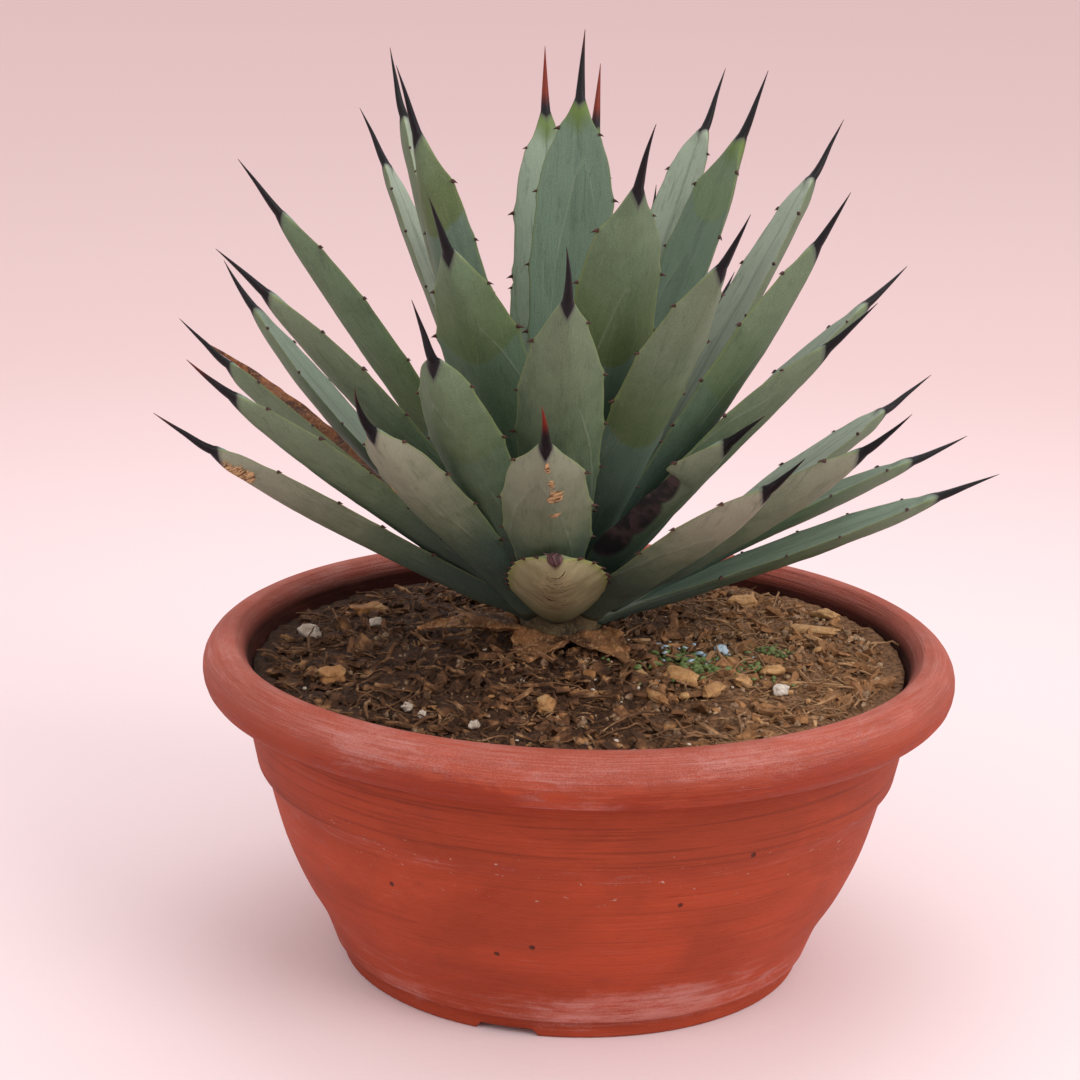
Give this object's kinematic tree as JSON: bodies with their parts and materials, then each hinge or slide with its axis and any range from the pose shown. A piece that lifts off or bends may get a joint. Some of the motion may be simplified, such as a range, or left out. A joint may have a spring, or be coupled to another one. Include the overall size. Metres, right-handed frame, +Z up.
{
  "type": "potted agave",
  "caption": "Spiny agave rosette with narrow grey-green leaves, each ending in a long dark spine, growing in a round shallow terracotta bowl of soil.",
  "frame": {"origin": "on the ground, at the centre of the bowl's foot ring, which is also the centre of the whole plant's footprint", "axes": "+Z up along the bowl's axis; +X to the right and -Y towards the viewer of the front, where the short stunted leaf is"},
  "size_m": [0.333, 0.3, 0.37],
  "materials": {
    "terracotta": "matte",
    "potting_soil": "matte",
    "stem": "matte",
    "leaf": "satin",
    "dry_leaf": "matte"
  },
  "bodies": {
    "root": {"terracotta_bowl": "terracotta", "soil": "potting_soil", "stem": "stem", "leaf_01": "leaf", "leaf_02": "leaf", "leaf_03": "leaf", "leaf_04": "dry_leaf", "leaf_05": "leaf", "leaf_06": "leaf", "leaf_07": "leaf", "leaf_08": "leaf", "leaf_09": "leaf", "leaf_10": "leaf", "leaf_11": "leaf", "leaf_12": "leaf", "leaf_13": "leaf", "leaf_14": "leaf", "leaf_15": "leaf", "leaf_16": "leaf", "leaf_17": "leaf", "leaf_18": "leaf", "leaf_19": "leaf", "leaf_20": "leaf", "leaf_21": "leaf", "leaf_22": "leaf", "leaf_23": "leaf", "leaf_24": "leaf", "leaf_25": "leaf", "leaf_26": "leaf", "leaf_27": "leaf", "leaf_28": "leaf", "leaf_29": "leaf", "leaf_30": "leaf", "leaf_31": "leaf", "leaf_32": "leaf", "leaf_33": "leaf", "leaf_34": "leaf", "leaf_35": "leaf", "leaf_36": "leaf", "leaf_37": "leaf", "leaf_38": "leaf", "dry_leaf_stump_1": "dry_leaf", "dry_leaf_stump_2": "dry_leaf", "dry_leaf_stump_3": "dry_leaf", "dry_leaf_stump_4": "dry_leaf"}
  },
  "joints": []
}
